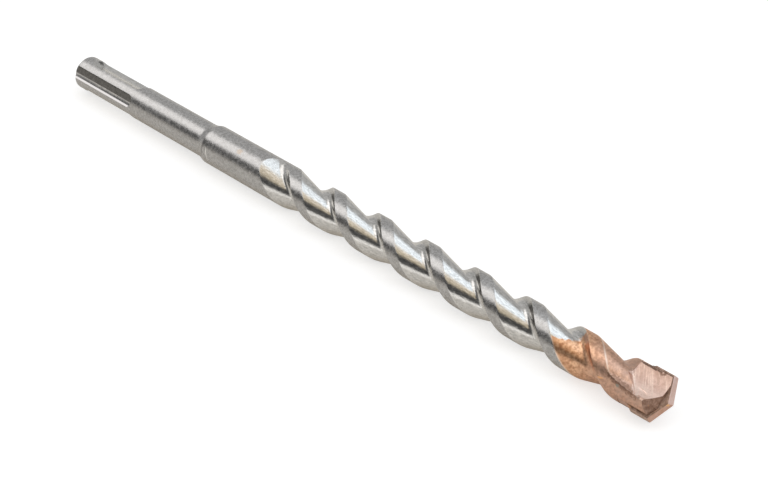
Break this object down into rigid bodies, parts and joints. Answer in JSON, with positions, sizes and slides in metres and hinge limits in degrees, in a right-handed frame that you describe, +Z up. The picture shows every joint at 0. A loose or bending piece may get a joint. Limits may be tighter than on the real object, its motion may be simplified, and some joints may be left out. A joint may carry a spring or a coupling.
{
  "type": "drill bit",
  "caption": "Hammer drill bit with a grooved quick-change shank, a right-hand spiral fluted body and a carbide plate brazed across its copper-coloured point.",
  "frame": {"origin": "centre of the flat face at the shank's end, on the bit's own axis", "axes": "+X along the bit's axis from the shank to the point, +Z up as the bit lies at rest on a flat surface"},
  "size_m": [0.21, 0.012, 0.0114],
  "materials": {
    "steel": "blasted satin steel, copper-coloured over the head",
    "carbide": "matte carbide with a pinkish copper film",
    "braze": "rough braze metal"
  },
  "bodies": {
    "root": {"drill_body": "steel", "carbide_plate": "carbide", "braze_filler": "braze"}
  },
  "joints": []
}
